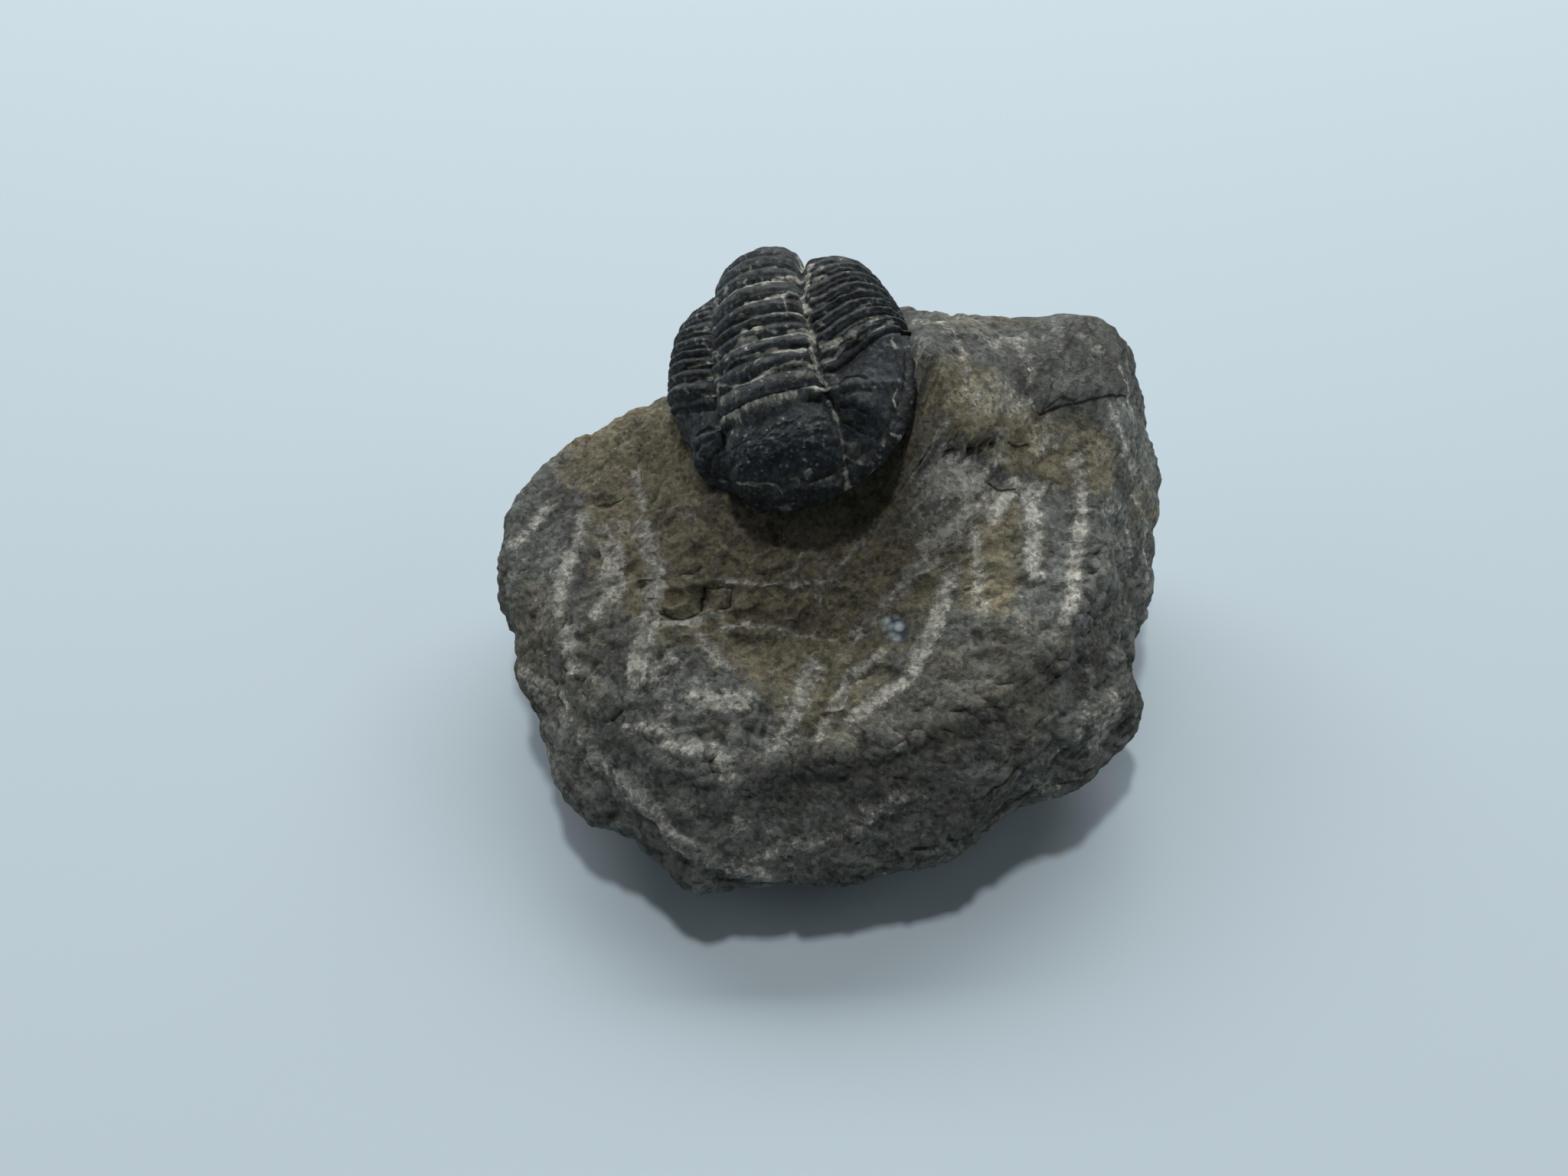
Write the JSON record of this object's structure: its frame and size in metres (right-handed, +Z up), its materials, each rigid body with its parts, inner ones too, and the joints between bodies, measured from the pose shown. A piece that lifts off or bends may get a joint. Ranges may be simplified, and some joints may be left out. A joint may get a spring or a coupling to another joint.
{
  "type": "trilobite fossil on matrix",
  "caption": "Small black trilobite fossil, partly rolled up, standing proud on a loose, rough block of grey-brown limestone that rests on a small flat spot.",
  "frame": {"origin": "in the plane the stone rests on, under the middle of the whole piece", "axes": "+Z up, +X to the right of someone facing the trilobite's head, the head faces -Y"},
  "size_m": [0.0468, 0.0402, 0.0241],
  "materials": {
    "limestone": "rough grey-brown limestone with ochre stains and pale scratch marks",
    "black_calcite": "blue-black, satin, granular on the head, pale grit in the furrows"
  },
  "bodies": {
    "root": {"matrix": "limestone", "trilobite": "black_calcite"}
  },
  "joints": []
}
